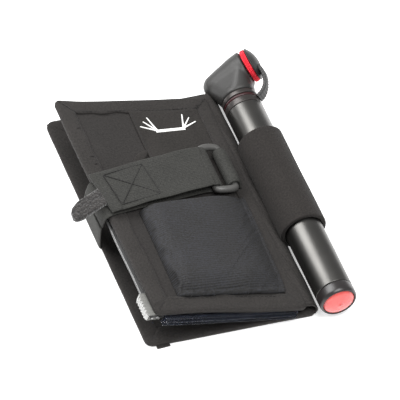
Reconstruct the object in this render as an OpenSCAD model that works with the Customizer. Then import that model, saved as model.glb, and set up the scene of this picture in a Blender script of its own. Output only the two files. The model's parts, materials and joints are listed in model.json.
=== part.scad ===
// Folded bicycle tool wrap with a clear zip pouch, a cinch strap and a mini pump in a side sleeve.
// The wrap lies on the plane z = 0 and the pump lies along its right edge, head towards +Y.

/* [Wrap] */
// Width of the base panel across the fold
wrap_w = 100; // [98:0.5:101]
// Length of the base panel along the spine
wrap_l = 170; // [160:1:176]
// How far the right edge has slipped towards the near end
skew = 3; // [0:0.5:5]
// Thickness of a padded panel
panel_t = 2.4; // [1.6:0.1:2.6]
// Width of the folded tape that binds every edge
binding_w = 9.5; // [7:0.5:12]
// Slope of the folded top panel
tilt = 12; // [11.5:0.1:12.5]

/* [Strap] */
// Width of the cinch strap
strap_w = 28; // [24:1:30]
// Thickness of the strap webbing
strap_t = 1.5; // [1.2:0.1:1.6]
// Slant of the free tail across the wrap
tail_slant = 9.5; // [7:0.5:10]
// Slant of the lower run across the wrap
run_slant = 9; // [6:0.5:10]

/* [Pockets] */
// Height of the bulged stretch pocket
pocket_h = 9; // [8:0.5:9]
// Height of the flat tool pocket
tool_pocket_h = 1.2; // [0.8:0.1:1.3]

/* [Pump] */
// Outside diameter of the handle tube
tube_d = 22; // [21:0.5:22]
// Length of the pump between the lens rim and the head
body_l = 157; // [150:1:160]
// Angle of the valve head above the ground
head_lift = 28; // [24:1:32]
// Outside diameter of the neoprene sleeve
sleeve_d = 28; // [27:0.5:28]
// Length of the neoprene sleeve
sleeve_l = 70; // [60:1:72]

/* [Hidden] */
$fn = 64;

fabric = "#3a3735";
webbing = "#4c4d4a";
binding_t = 0.8;
gap = 0.3;
eps = 0.01;

// Hinge lines of the top panel and of the pouch page, both along Y
hinge_x = 43;
hinge_z = 9;
page_hinge_z = 5.8;
panel_w = 94.5;
page_w = 96;
far_trim = 8;
// How far the top panel's near left corner has drawn in, across and along
near_in = 6;
near_up = 2.4;

// Ring and strap stations, measured leftwards from the panel's hinge line
bar_r = 2.2;
fold_r = bar_r + gap;
bar_x = -23.5;
bar_z = tool_pocket_h + 0.4 + strap_t + fold_r;
ring_w = 16.5;
ring_l = 37;
ring_y = 15;
strap_y = 15.2;
crease_x = bar_x - 4;
tail_z = bar_z + fold_r + strap_t / 2;
tail_l = 68;
tail_drop = 3.3;
run_l = 69.8;

// Pump stations along Y
pump_x = 60;
pump_z = sleeve_d / 2;
cap_y = -93.5;
joint_y = cap_y + body_l;
collar_l = 9.4;
cap_l = 7.6;
sleeve_y = cap_y + 54.3;
tube_r = tube_d / 2;
tube_wall = 1.3;
barrel_r = 8.5;
barrel_wall = 1.1;
barrel_l = 138;
rod_r = 3;
cross_a = 18;
cross_r = 10.2;
face_b = 12.6;
clamp_l = 3.2;

// Edge of a skewed panel at a place across the wrap
function skewed(x) = -skew * x / (wrap_w / 2);

// Outline between two places across the wrap and two distances from its middle
module skewed_outline(x0, x1, y0, y1, x_shift = 0)
    polygon([
        [x0, y0 + skewed(x0 + x_shift)], [x1, y0 + skewed(x1 + x_shift)],
        [x1, y1 + skewed(x1 + x_shift)], [x0, y1 + skewed(x0 + x_shift)]
    ]);

module on_panel() translate([hinge_x, 0, hinge_z]) rotate([0, tilt, 0]) children();
module on_page() translate([hinge_x, 0, page_hinge_z]) rotate([0, tilt, 0]) children();
module along_pump(y) translate([pump_x, y, pump_z]) rotate([-90, 0, 0]) children();

// Valve head frame: X out along the valve axis, Y along the pump, origin where the axes cross
module on_head() translate([pump_x, joint_y + cross_a, pump_z]) rotate([0, -head_lift, 0]) children();
module along_valve(b) on_head() translate([b, 0, 0]) rotate([0, 90, 0]) children();

module ring(r_out, r_in, l) difference() {
    cylinder(r = r_out, h = l);
    translate([0, 0, -1]) cylinder(r = r_in, h = l + 2);
}

// ---- base ----
module base_panel() color(fabric)
    linear_extrude(panel_t)
        skewed_outline(-wrap_w / 2, wrap_w / 2, -wrap_l / 2, wrap_l / 2);

module base_binding() color(fabric)
    translate([0, 0, panel_t]) linear_extrude(binding_t) difference() {
        skewed_outline(-wrap_w / 2, wrap_w / 2, -wrap_l / 2, wrap_l / 2);
        skewed_outline(-wrap_w / 2 + binding_w, wrap_w / 2 - binding_w,
            -wrap_l / 2 + binding_w, wrap_l / 2 - binding_w);
    }

module spine_panel() {
    spine_t = 2.2;
    spine_h = 5;
    spine_in = 2.9;
    color(fabric) translate([0, 0, panel_t + binding_t]) linear_extrude(spine_h)
        skewed_outline(wrap_w / 2 - spine_t - spine_in, wrap_w / 2 - spine_in,
            -wrap_l / 2, wrap_l / 2 - far_trim - 4);
}

module pump_sleeve() color("#35322f")
    along_pump(sleeve_y) ring(sleeve_d / 2, tube_r + gap, sleeve_l);

module sleeve_wing() color(fabric) difference() {
    translate([wrap_w / 2, sleeve_y, 0]) cube([pump_x - wrap_w / 2 - 2, sleeve_l, 2.2]);
    along_pump(sleeve_y - 1) cylinder(r = sleeve_d / 2, h = sleeve_l + 2);
}

// Lower end of the strap: sewn under the left edge and turned up beside it
module strap_wrap() {
    reach = 3.9;
    wrap_y = -10;
    upright_h = 21.6;
    color(webbing) translate([-wrap_w / 2 - reach, wrap_y, 0]) {
        cube([reach, strap_w, strap_t]);
        cube([strap_t, strap_w, upright_h]);
    }
}

// ---- top panel, tilted about its hinge line ----
module panel_outline(inset = 0) {
    near_y = -wrap_l / 2 + inset;
    far_y = wrap_l / 2 - far_trim - inset;
    polygon([
        [-panel_w + near_in + inset, near_y + near_up + skewed(hinge_x - panel_w)],
        [-inset, near_y + skewed(hinge_x)],
        [-inset, far_y + skewed(hinge_x)],
        [-panel_w + inset, far_y + skewed(hinge_x - panel_w)]
    ]);
}

module top_panel() color(fabric)
    on_panel() translate([0, 0, -panel_t]) linear_extrude(panel_t) panel_outline();

module top_binding() color(fabric)
    on_panel() linear_extrude(binding_t) difference() {
        panel_outline();
        panel_outline(binding_w);
    }

tool_pocket_x0 = -52;

module tool_pocket() color("#3f3b39")
    on_panel() linear_extrude(tool_pocket_h)
        skewed_outline(tool_pocket_x0, -binding_w - gap,
            3, wrap_l / 2 - far_trim - binding_w - 2 * gap, hinge_x);

// A folding multi-tool: a body with a fan of tools at each end
module tool_icon() {
    body_len = 17;
    line_w = 1.1;
    tool_len = 10.5;
    color("white") on_panel() translate([-33.5, 49.5, tool_pocket_h]) linear_extrude(0.15) {
        translate([-body_len / 2, -line_w]) square([body_len, 2 * line_w]);
        for (side = [-1, 1]) translate([side * body_len / 2, 0]) {
            circle(r = 1.7);
            for (fan = [20, 42, 64])
                rotate(side > 0 ? fan : 180 - fan)
                    translate([0, -line_w / 2]) square([tool_len, line_w]);
        }
    }
}

// Bulged pocket of ribbed stretch cloth, open towards the strap
pocket_x0 = -71;
pocket_x1 = -11;
pocket_y0 = -71;
mouth_left_y = -8.6;
mouth_right_y = -5;
pocket_wall = 1.2;

module pocket_outline(inset = 0, past = 0) polygon([
    [pocket_x0 + inset, pocket_y0 + inset + skewed(pocket_x0 + hinge_x)],
    [pocket_x1 - inset, pocket_y0 + inset + skewed(pocket_x1 + hinge_x)],
    [pocket_x1 - inset, mouth_right_y + past],
    [pocket_x0 + inset, mouth_left_y + past]
]);

module stretch_pocket() color("#474747")
    on_panel() difference() {
        linear_extrude(pocket_h) pocket_outline();
        translate([0, 0, -1]) linear_extrude(pocket_h + 1 - pocket_wall)
            pocket_outline(pocket_wall, 5);
    }

module pocket_hem() color("#2c2b2b")
    on_panel() translate([0, 0, pocket_h]) linear_extrude(0.6) polygon([
        [pocket_x0, mouth_left_y - 6], [pocket_x1, mouth_right_y - 6],
        [pocket_x1, mouth_right_y], [pocket_x0, mouth_left_y]
    ]);

// Webbing looped round the ring's right bar and sewn to the panel
module ring_tab() {
    tab_w = 26;
    tab_bar_x = bar_x + ring_w - 2 * bar_r;
    loop_r = bar_r + 0.1;
    loop_t = strap_t + 0.4;
    color(webbing) on_panel() translate([0, ring_y, 0]) difference() {
        union() {
            translate([tab_bar_x, tab_w / 2, bar_z]) rotate([90, 0, 0])
                cylinder(r = loop_r + loop_t, h = tab_w);
            translate([tab_bar_x, -tab_w / 2, tool_pocket_h])
                cube([6, tab_w, bar_z - tool_pocket_h - bar_r]);
        }
        translate([tab_bar_x, tab_w / 2 + 1, bar_z]) rotate([90, 0, 0]) cylinder(r = loop_r, h = tab_w + 2);
    }
}

// Rectangular loop: two straight bars along Y joined by two end bars
module strap_ring() {
    right_x = bar_x + ring_w - 2 * bar_r;
    end_y = ring_l / 2 - bar_r;
    color("#585856") on_panel() translate([0, ring_y, bar_z]) {
        for (x = [bar_x, right_x])
            translate([x, end_y, 0]) rotate([90, 0, 0]) cylinder(r = bar_r, h = 2 * end_y);
        for (side = [-1, 1])
            translate([bar_x, side * end_y, 0]) rotate([0, 90, 0])
                cylinder(r = bar_r, h = right_x - bar_x);
        for (x = [bar_x, right_x], side = [-1, 1])
            translate([x, side * end_y, 0]) sphere(r = bar_r);
    }
}

// Lower run of the strap: over the panel's left edge, along the panel, up round the ring's bar
module strap_run() {
    turn_down = 6.8;
    end_y = -strap_w / 2 - 11;
    lap = 0.6;
    skin = 0.1;
    level = bar_z - fold_r - strap_t;
    color(webbing) on_panel() translate([bar_x, strap_y, 0]) {
        rotate([0, 0, run_slant]) translate([-run_l, -strap_w / 2 - 1, level])
            cube([run_l - 4, strap_w - 2, strap_t]);
        translate([-run_l - 4, end_y, level + skin / 2]) cube([8, strap_w - 1, strap_t - skin]);
        translate([-run_l - 4, end_y, -turn_down])
            cube([strap_t, strap_w - 1, turn_down + level + strap_t / 2]);
        translate([-8, -strap_w / 2, level + skin / 2]) cube([8 + lap, strap_w, strap_t - skin]);
        translate([0, strap_w / 2, bar_z]) rotate([90, -90, 0])
            rotate_extrude(angle = 180) translate([fold_r, 0]) square([strap_t, strap_w]);
        translate([crease_x - bar_x + strap_t / 2 + 2 * gap, -strap_w / 2, bar_z + fold_r + skin / 2])
            cube([bar_x - crease_x - strap_t / 2 - 2 * gap + lap, strap_w, strap_t - skin]);
    }
}

// ---- free tail of the strap, peeling about the crease beside the ring ----
module on_tail() on_panel() translate([crease_x, strap_y, tail_z]) rotate([0, -tail_drop, 0])
    rotate([0, 0, tail_slant]) children();

module strap_tail() color(webbing) on_panel() translate([crease_x, strap_y, tail_z]) {
    translate([0, strap_w / 2, 0]) rotate([90, 0, 0]) cylinder(r = strap_t / 2 + 0.15, h = strap_w);
    rotate([0, -tail_drop, 0]) {
        translate([-4, -strap_w / 2, -strap_t / 2 + 0.05]) cube([4, strap_w, strap_t - 0.1]);
        rotate([0, 0, tail_slant]) translate([-tail_l, -strap_w / 2, -strap_t / 2])
            cube([tail_l - 2, strap_w, strap_t]);
    }
}

module hook_patch() color("#201f1e")
    on_tail() translate([-tail_l + 1, -strap_w / 2 + 1, -strap_t / 2 - 0.8]) cube([26, strap_w - 2, 0.8]);

// Sewn square with a cross, standing slightly proud of the webbing
module box_stitch() {
    box_l = 25;
    box_w = 24;
    thread = 0.5;
    diagonal = sqrt(box_l * box_l + box_w * box_w);
    color("#101010") on_tail() translate([-tail_l + 15, 0, strap_t / 2]) linear_extrude(0.25) {
        difference() {
            square([box_l, box_w], center = true);
            square([box_l - 2 * thread, box_w - 2 * thread], center = true);
        }
        for (side = [-1, 1]) rotate(side * atan(box_w / box_l))
            square([diagonal - 2 * thread, thread], center = true);
    }
}

module pull_tab() {
    tab_w = 15;
    tab_l = 17;
    tab_t = 2.2;
    droop = 4;
    color("#2b2927") on_tail() translate([-tail_l, -5, 0.2]) rotate([0, -droop, 0]) {
        translate([-tab_l, -tab_w / 2, -tab_t / 2]) cube([tab_l - gap, tab_w, tab_t]);
        translate([-tab_l, tab_w / 2, 0]) rotate([90, 0, 0]) cylinder(r = 1.4, h = tab_w);
    }
}

// ---- clear pouch page under the top panel ----
film_t = 0.5;
page_t = 3.2;
film_x0 = -86;
film_x1 = -5;

module film(z) on_page() translate([0, 0, z]) linear_extrude(film_t)
    skewed_outline(film_x0, film_x1, -wrap_l / 2 + 1, wrap_l / 2 - far_trim - 1, hinge_x);

module pouch_front_film() color("#c8d0d8") film(-film_t);
module pouch_back_film() color("#c8d0d8") film(-page_t);

module pouch_tape() color(fabric)
    on_page() translate([0, 0, -1.6]) linear_extrude(0.9)
        skewed_outline(film_x1 - 4, -0.6, -wrap_l / 2 + 2, wrap_l / 2 - far_trim - 5, hinge_x);

// Two beads on a flat tape along the pouch's open edge
module zip_rail() {
    rail_y0 = -wrap_l / 2 + 5;
    rail_l = wrap_l - 12;
    color("#dcdcd8") on_page() {
        translate([-page_w + 1.8, rail_y0, -2.6]) cube([8.4, rail_l, 1.2]);
        for (x = [-page_w + 2.9, -page_w + 6.1])
            translate([x, rail_y0 + rail_l, -2]) rotate([90, 0, 0]) cylinder(r = 1.05, h = rail_l);
    }
}

// Ribbed slider that straddles the rail
module zip_slider() {
    slider_l = 16;
    slider_w = 9.6;
    slider_h = 5.6;
    slot_h = 2.8;
    color("#e6e6e0") on_page() translate([-page_w, -wrap_l / 2 + 6, -5.2]) difference() {
        cube([slider_w, slider_l, slider_h]);
        translate([1.4, -1, 1.8]) cube([slider_w, slider_l + 2, slot_h]);
        for (i = [0:5]) translate([-1, 2.2 + i * 2.2, -1]) cube([1.5, 0.9, slider_h + 2]);
    }
}

// ---- pump head ----
module pump_head() color("#4a4947") difference() {
    hull() {
        on_head() translate([-8, 0, 0]) sphere(r = 7.6, $fn = 32);
        along_valve(5) cylinder(r = cross_r + 0.6, h = face_b - 5, $fn = 32);
        along_pump(joint_y + 0.4) cylinder(r = tube_r - 0.4, h = 4, $fn = 32);
    }
    along_valve(2) cylinder(r = 7.2, h = face_b);
    along_valve(-8) cylinder(r = 2.6, h = 12);
    along_pump(joint_y - 1) cylinder(r = 4.2, h = cross_a);
}

module head_seal() color("#1c1c1c") along_valve(2.2) ring(7.1, 2.9, face_b - 2.8);

module check_valve() color("#b8975a") along_pump(joint_y + 0.6) ring(4.1, 1, 9);

module neck_collar() color("#55514f") along_pump(joint_y - collar_l) difference() {
    ring(tube_r, barrel_r, collar_l);
    translate([0, 0, 4.2]) ring(tube_r + 1, tube_r - 1.6, 2.2);
}

module neck_o_ring() color("#4a1a1c") along_pump(joint_y - collar_l + 5.3)
    rotate_extrude() translate([tube_r - 0.84, 0]) circle(r = 0.75, $fn = 24);

module inner_barrel() color("silver") along_pump(joint_y - barrel_l)
    ring(barrel_r, barrel_r - barrel_wall, barrel_l);

module barrel_bush() color("#222222") along_pump(joint_y - barrel_l + eps)
    ring(barrel_r - barrel_wall, rod_r + 0.05, 5);

// Knurled ring that clamps the valve
module clamp_ring() {
    ribs = 36;
    color("#d0303c") along_valve(face_b + gap) difference() {
        ring(cross_r, 5.6, clamp_l);
        for (i = [0:ribs - 1]) rotate(i * 360 / ribs)
            translate([cross_r, 0, 0.5]) cylinder(r = 0.32, h = clamp_l - 1, $fn = 6);
    }
}

// Rubber strap from the neck to the cap, an arc beside the valve
tether_b = 9.5;
tether_a = -13.2;
tether_r = 10;
cap_hinge_b = 19.2;
cap_hinge_a = -10.6;

module cap_tether() color("#262626") on_head() translate([tether_b, tether_a, -3])
    difference() {
        rotate([0, 0, -86]) rotate_extrude(angle = 88) translate([tether_r - 2.4, 0]) square([2.4, 6]);
        translate([-tether_b, -20, 3]) rotate([-90, 0, 0]) cylinder(r = tube_r, h = 30);
    }

module dust_cap() {
    dome_r = 15;
    cap_r = 10.4;
    cap_h = 4.2;
    seat_b = face_b + clamp_l + 2 * gap;
    color("#2a2a2a") {
        intersection() {
            along_valve(seat_b + cap_h - dome_r) sphere(r = dome_r);
            along_valve(seat_b) cylinder(r = cap_r, h = 2 * cap_h);
        }
        on_head() translate([cap_hinge_b - 1.1, cap_hinge_a + 0.4, -3]) cube([2.2, 3.4, 6]);
    }
}

// ---- pump handle ----
module handle_tube() color("#8a8884") along_pump(cap_y + cap_l)
    ring(tube_r, tube_r - tube_wall, body_l - cap_l - collar_l - gap);

module end_cap() color("#2a2727") along_pump(cap_y) difference() {
    union() {
        cylinder(r1 = tube_r - 1.2, r2 = tube_r, h = 1.6);
        translate([0, 0, 1.6]) cylinder(r = tube_r, h = cap_l - 1.6);
        translate([0, 0, cap_l]) cylinder(r = tube_r - tube_wall, h = 5);
    }
    translate([0, 0, -1]) cylinder(r = 9.3, h = 3);
    translate([0, 0, 5]) cylinder(r = rod_r, h = 10);
}

module end_lens() {
    dome_r = 21;
    lens_r = 9.3;
    color("#e8605f") intersection() {
        along_pump(cap_y - 2 + dome_r) sphere(r = dome_r);
        along_pump(cap_y - 4) cylinder(r = lens_r, h = 6);
    }
}

module piston_rod() color("silver") along_pump(cap_y + 5) cylinder(r = rod_r, h = body_l - 21);

module piston() color("#222222") along_pump(cap_y + body_l - 16) difference() {
    cylinder(r = barrel_r - barrel_wall - 0.1, h = 9);
    translate([0, 0, 3.4]) ring(barrel_r, barrel_r - barrel_wall - 1.8, 2.2);
}

module piston_seal() color("#101010") along_pump(cap_y + body_l - 11.5)
    rotate_extrude() translate([barrel_r - barrel_wall - 0.95, 0]) circle(r = 0.85, $fn = 24);

base_panel();
base_binding();
spine_panel();
pump_sleeve();
sleeve_wing();
strap_wrap();
top_panel();
top_binding();
tool_pocket();
tool_icon();
stretch_pocket();
pocket_hem();
ring_tab();
strap_ring();
strap_run();
strap_tail();
hook_patch();
box_stitch();
pull_tab();
pouch_front_film();
pouch_back_film();
pouch_tape();
zip_rail();
zip_slider();
pump_head();
head_seal();
check_valve();
neck_collar();
neck_o_ring();
inner_barrel();
barrel_bush();
clamp_ring();
cap_tether();
dust_cap();
handle_tube();
end_cap();
end_lens();
piston_rod();
piston();
piston_seal();
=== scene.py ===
import json
import math

import bmesh
import bpy
import numpy as np
from mathutils import Matrix, Vector, noise


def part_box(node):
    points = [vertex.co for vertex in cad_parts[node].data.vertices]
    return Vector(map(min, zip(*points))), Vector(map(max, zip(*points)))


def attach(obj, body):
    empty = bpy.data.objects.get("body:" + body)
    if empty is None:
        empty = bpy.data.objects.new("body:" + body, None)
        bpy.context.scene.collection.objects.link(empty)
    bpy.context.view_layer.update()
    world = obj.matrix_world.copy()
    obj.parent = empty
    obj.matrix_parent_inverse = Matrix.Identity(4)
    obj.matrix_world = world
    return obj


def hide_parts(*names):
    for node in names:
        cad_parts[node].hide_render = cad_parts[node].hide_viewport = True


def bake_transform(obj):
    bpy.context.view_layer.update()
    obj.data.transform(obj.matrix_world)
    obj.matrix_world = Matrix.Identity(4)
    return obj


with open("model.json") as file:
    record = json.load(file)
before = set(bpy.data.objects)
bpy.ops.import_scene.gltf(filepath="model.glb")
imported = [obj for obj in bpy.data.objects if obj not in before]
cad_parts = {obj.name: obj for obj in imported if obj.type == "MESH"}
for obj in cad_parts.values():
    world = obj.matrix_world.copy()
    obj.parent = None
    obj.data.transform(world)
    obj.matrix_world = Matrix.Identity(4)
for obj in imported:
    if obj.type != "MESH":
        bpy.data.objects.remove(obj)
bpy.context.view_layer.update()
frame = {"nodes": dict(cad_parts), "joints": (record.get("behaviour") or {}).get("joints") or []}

MM = 0.001
joints = {j["name"]: j for j in frame["joints"]}

# Driving dimensions of the wrap, in millimetres, as the part has them
TILT = math.radians(12)
SKEW = 3.0
HINGE = Vector(joints["panel_open"]["pos_m"]) / MM
PAGE_HINGE = Vector(joints["page_turn"]["pos_m"]) / MM
CREASE = Vector(joints["tail_peel"]["pos_m"]) / MM
BINDING = 9.5
PAD_LOW, PAD_TOP = 0.35, 2.5
PANEL_LOW = -2.3
CLOTH_HALF = 0.55
WEB_T = 1.5
STRAP_W = 28.0
ACROSS = 25
TINY = 1e-12
UP = Vector((0, 0, 1))
ALONG_Y = np.array([0.0, 1.0, 0.0])
THREAD_UP = np.array([0.0, 0.3, 1.0])


def span(node):
    """Lowest and highest corner of a CAD node, in millimetres."""
    low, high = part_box(node)
    return low / MM, high / MM


base_low, base_high = span("base_panel")
HALF_W = base_high.x
NEAR_Y = base_low.y + SKEW
FAR_Y = base_high.y - SKEW
FAR_TRIM = 8.0
PANEL_W = (HINGE.x - span("top_panel")[0].x) / math.cos(TILT) - 0.2


def skewed(x):
    """How far the near and far edges slant, at x across the wrap."""
    return -SKEW * x / HALF_W


def span_x0(node):
    """Left edge of a node that lies on the top panel, measured from the panel's hinge line."""
    return (span(node)[0].x - HINGE.x) / math.cos(TILT)


def tilted(hinge, x, y, z):
    """A point of the sloping page or panel: x leftwards from the hinge is negative, z is above it."""
    c, s = math.cos(TILT), math.sin(TILT)
    return np.stack(np.broadcast_arrays(hinge.x + x * c + z * s, y, hinge.z - x * s + z * c), -1)


def wave(x, y):
    """Unevenness of the top panel: flatter under the strap, curling up at its far left corner."""
    soft = (0.4 * np.sin(x / 17.0 + y / 41.0) + 0.35 * np.sin(y / 19.0 - x / 37.0 + 1.0)
            + 0.22 * np.sin(x / 8.3 + 2.0) * np.sin(y / 9.0))
    near_strap = np.exp(-((y - 8) / 20.0) ** 2)
    curl = 1.5 * np.exp(-((x + 98) / 15.0) ** 2 - ((y - 80) / 22.0) ** 2)
    edge = 0.8 * np.exp(-((y + 84) / 9.0) ** 2) * np.sin(x / 12.5 + 0.4)
    return (soft + 0.15) * (1 - 0.75 * near_strap) + curl + edge * (1 - near_strap)


def on_panel(x, y, z):
    """A point of the top panel."""
    x, y, z = (np.asarray(v, float) for v in (x, y, z))
    return tilted(HINGE, x, y, z + wave(x, y))


NEAR_IN, NEAR_UP = 4.6, 2.2


def on_panel_outline(x, y, z):
    """As on_panel, with the outline's near left corner drawn in."""
    left = np.clip(-np.asarray(x, float) / PANEL_W, 0, 1.1)
    near = np.clip((FAR_Y - FAR_TRIM - y) / (FAR_Y - FAR_TRIM - NEAR_Y), 0, 1.1)
    return on_panel(x + NEAR_IN * left * near, y + NEAR_UP * left * near, z)


def on_page(x, y, z):
    """A point of the pouch page."""
    x, y, z = (np.asarray(v, float) for v in (x, y, z))
    return tilted(PAGE_HINGE, x, y, z)


# ---------------------------------------------------------------- meshes

def make(name, points, faces, uv=None, smooth=True):
    """A mesh object from points, and each point's place on the cloth, all in millimetres."""
    me = bpy.data.meshes.new(name)
    me.from_pydata((np.asarray(points, float) * MM).tolist(), [], faces)
    me.validate()
    me.update()
    if uv is not None:
        layer = me.uv_layers.new(name="Cloth")
        index = np.zeros(len(me.loops), np.int32)
        me.loops.foreach_get("vertex_index", index)
        layer.data.foreach_set("uv", (np.asarray(uv, float) * MM)[index].astype(np.float32).ravel())
    me.polygons.foreach_set("use_smooth", [smooth] * len(me.polygons))
    ob = bpy.data.objects.new(name, me)
    bpy.context.scene.collection.objects.link(ob)
    return ob


def grid_faces(nu, nv, start=0, flip=False, close_u=False, close_v=False):
    """Quads over a grid of nu by nv points."""
    out = []
    for i in range(nu if close_u else nu - 1):
        for j in range(nv if close_v else nv - 1):
            a, b = start + i * nv + j, start + ((i + 1) % nu) * nv + j
            c, d = start + ((i + 1) % nu) * nv + (j + 1) % nv, start + i * nv + (j + 1) % nv
            out.append((a, d, c, b) if flip else (a, b, c, d))
    return out


def shell_faces(nu, nv, flip=False):
    """Faces of two matching grids, one over the other, joined all round their rim."""
    n = nu * nv
    rim = ([i * nv for i in range(nu)] + [(nu - 1) * nv + j for j in range(1, nv)]
           + [i * nv + nv - 1 for i in range(nu - 2, -1, -1)] + [j for j in range(nv - 2, 0, -1)])
    faces = grid_faces(nu, nv, flip=flip) + grid_faces(nu, nv, n, flip=not flip)
    for a, b in zip(rim, rim[1:] + rim[:1]):
        faces.append((a, b, b + n, a + n) if flip else (a, a + n, b + n, b))
    return faces


def shell(name, top, under, uv):
    """A closed sheet from its upper and lower grids of points, with one grid of places on the cloth."""
    points = np.concatenate([top.reshape(-1, 3), under.reshape(-1, 3)])
    uv = uv.reshape(-1, 2)
    return make(name, points, shell_faces(*top.shape[:2]), np.concatenate([uv, uv]))


def along(path):
    """Distance along a path, at each of its points."""
    return np.concatenate([[0], np.cumsum(np.linalg.norm(np.diff(path, axis=0), axis=1))])


def unit(rows):
    """Each row scaled to length one."""
    return rows / (np.linalg.norm(rows, axis=1)[:, None] + TINY)


def dress(ob, material, body=None):
    """Gives a piece its material and the body it rides on."""
    ob.data.materials.clear()
    ob.data.materials.append(material)
    if body:
        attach(ob, body)
    return ob


def eased(n, edge=0.08, fine=6):
    """n places from 0 to 1, closer together near both ends."""
    low = edge * (np.arange(fine) / fine) ** 1.6
    middle = np.linspace(edge, 1 - edge, n - 2 * fine)
    return np.concatenate([low, middle, 1 - low[::-1]])


def rounded(d, r):
    """Share of the full thickness at distance d from the edge, with an edge radius r."""
    q = np.clip(d / r, 0, 1)
    return np.sqrt(np.clip(1 - (1 - q) ** 2, 0, 1))


def slab(name, place, x0, x1, y0, y1, low, high, radius=1.4, nu=60, nv=90, shift=0.0, lift=None):
    """A soft slab on the base, page or panel. Its near and far edges follow the skew."""
    s, t = eased(nu), eased(nv)
    sx, ty = np.meshgrid(s, t, indexing="ij")
    x = x0 + (x1 - x0) * sx
    y = y0 + (y1 - y0) * ty + skewed(x + shift)
    d = np.minimum(np.minimum(x - x0, x1 - x), np.minimum(ty * (y1 - y0), (1 - ty) * (y1 - y0)))
    share = 0.04 + 0.96 * rounded(d, radius)
    mid, half = (low + high) / 2, (high - low) / 2
    bump = lift(x, y) if lift else 0.0
    top = place(x, y, mid + half * share + bump * np.clip(d / 3, 0, 1))
    under = place(x, y, mid - half * share)
    return shell(name, top, under, np.stack([x, y], -1))


def rim_path(x0, x1, y0, y1, r, shift=0.0):
    """Gives a function of the inset d: the points round a skewed rounded rectangle at that inset."""
    step, arc = 3.0, 5
    corners = [(x0, y0, 1, 1, 180), (x1, y0, -1, 1, 270), (x1, y1, -1, -1, 0), (x0, y1, 1, -1, 90)]
    rows = []
    for k, (cx, cy, ix, iy, start) in enumerate(corners):
        for i in range(arc + 1):
            rows.append(("arc", cx, cy, ix, iy, math.radians(start + 90 * i / arc)))
        nx, ny, jx, jy, _ = corners[(k + 1) % 4]
        length = math.hypot(nx - cx, ny - cy)
        count = int(length / step)
        for i in range(1, count):
            rows.append(("side", cx, cy, ix, iy, nx, ny, jx, jy, i / count))

    def at(d):
        out = []
        keep = max(r - d, 0.03)
        inset = d + keep
        for row in rows:
            if row[0] == "arc":
                _, cx, cy, ix, iy, a = row
                x, y = cx + ix * inset + keep * math.cos(a), cy + iy * inset + keep * math.sin(a)
            else:
                _, cx, cy, ix, iy, nx, ny, jx, jy, f = row
                ax, ay, bx, by = cx + ix * inset, cy + iy * inset, nx + jx * inset, ny + jy * inset
                x, y = ax + (bx - ax) * f, ay + (by - ay) * f
                if abs(nx - cx) > abs(ny - cy):
                    y -= iy * keep
                else:
                    x -= ix * keep
            out.append((x, y + skewed(x + shift)))
        return np.array(out)
    return at


def binding(name, place, x0, x1, y0, y1, low, high, shift=0.0, skin=0.8, under=0.3, r=4.0, seed=0):
    """Tape folded round the edge of a slab: a C-shaped profile swept round it."""
    at = rim_path(x0, x1, y0, y1, r, shift)
    mid, width = (low + high) / 2, BINDING
    profile = [(width, high + 0.05), (width - 0.1, high + skin * 0.75), (width - 0.7, high + skin),
               (width / 2, high + skin * 0.9), (1.6, high + skin), (0.2, high + skin * 0.75),
               (-0.6, high + 0.1), (-0.85, mid), (-0.6, low - 0.02), (0.3, low - under * 0.8),
               (1.6, low - under), (width - 0.7, low - under), (width, low - under * 0.6),
               (width, low + 0.15), (width / 2, low + 0.2), (1.0, low + 0.2), (0.4, mid), (1.0, high - 0.2),
               (width / 2, high - 0.2), (width, high - 0.15)]
    rings = []
    outer = at(0)
    uneven = np.array([noise.noise((x * 0.09, y * 0.09, seed)) for x, y in outer])
    pucker = np.array([noise.noise((x * 0.45, y * 0.45, seed + 5.0)) for x, y in outer])
    for d, z in profile:
        xy = outer + (at(d) - outer) * (1 + 0.16 * uneven)[:, None]
        raised = z > high and 0.5 < d < width
        rings.append(place(xy[:, 0], xy[:, 1], z + (0.3 * uneven + 0.16 * pucker if raised else 0.0)))
    n = len(rings[0])
    points = np.concatenate(rings)
    faces = grid_faces(len(profile), n, flip=True, close_u=True, close_v=True)
    uv = np.concatenate([np.stack([along(outer), np.full(n, a)], -1) for a in along(profile)])
    return make(name, points, faces, uv)


def rings_round(path, tangent, up, radius, sides):
    """Points of a tube's rings, one ring round each point of its path."""
    side = unit(np.cross(tangent, up))
    over = np.cross(side, tangent)
    a = (np.arange(sides) * 2 * math.pi / sides)[None, :, None]
    return (path[:, None] + radius * (np.cos(a) * side[:, None] + np.sin(a) * over[:, None])).reshape(-1, 3)


def end_caps(rows, sides):
    """Faces that close a tube's first and last ring."""
    return [tuple(range(sides))[::-1], tuple((rows - 1) * sides + k for k in range(sides))]


def tube_around(path, radius, sides=6):
    """A closed round thread along an open path of 3D points in millimetres."""
    path = np.asarray(path, float)
    points = rings_round(path, unit(np.gradient(path, axis=0)), THREAD_UP, radius, sides)
    return points, grid_faces(len(path), sides, close_v=True) + end_caps(len(path), sides)


def gather(points, faces, part):
    """Adds one part's points and faces to the lists of a piece."""
    faces.extend(tuple(i + len(points) for i in face) for face in part[1])
    points.extend(part[0].tolist())


def stitches(name, runs, material, body, pitch=2.6, length=1.9, radius=0.17):
    """Rows of short sunken threads along lines of 3D points."""
    points, faces = [], []
    for run in runs:
        run = np.asarray(run, float)
        s = along(run)
        for k in range(int(s[-1] / pitch)):
            a = k * pitch + (pitch - length) / 2
            t = np.linspace(a, a + length, 5)
            path = np.stack([np.interp(t, s, run[:, i]) for i in range(3)], -1)
            path[[0, -1], 2] -= radius * 0.9
            gather(points, faces, tube_around(path, radius))
    return dress(make(name, points, faces), material, body)


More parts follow.
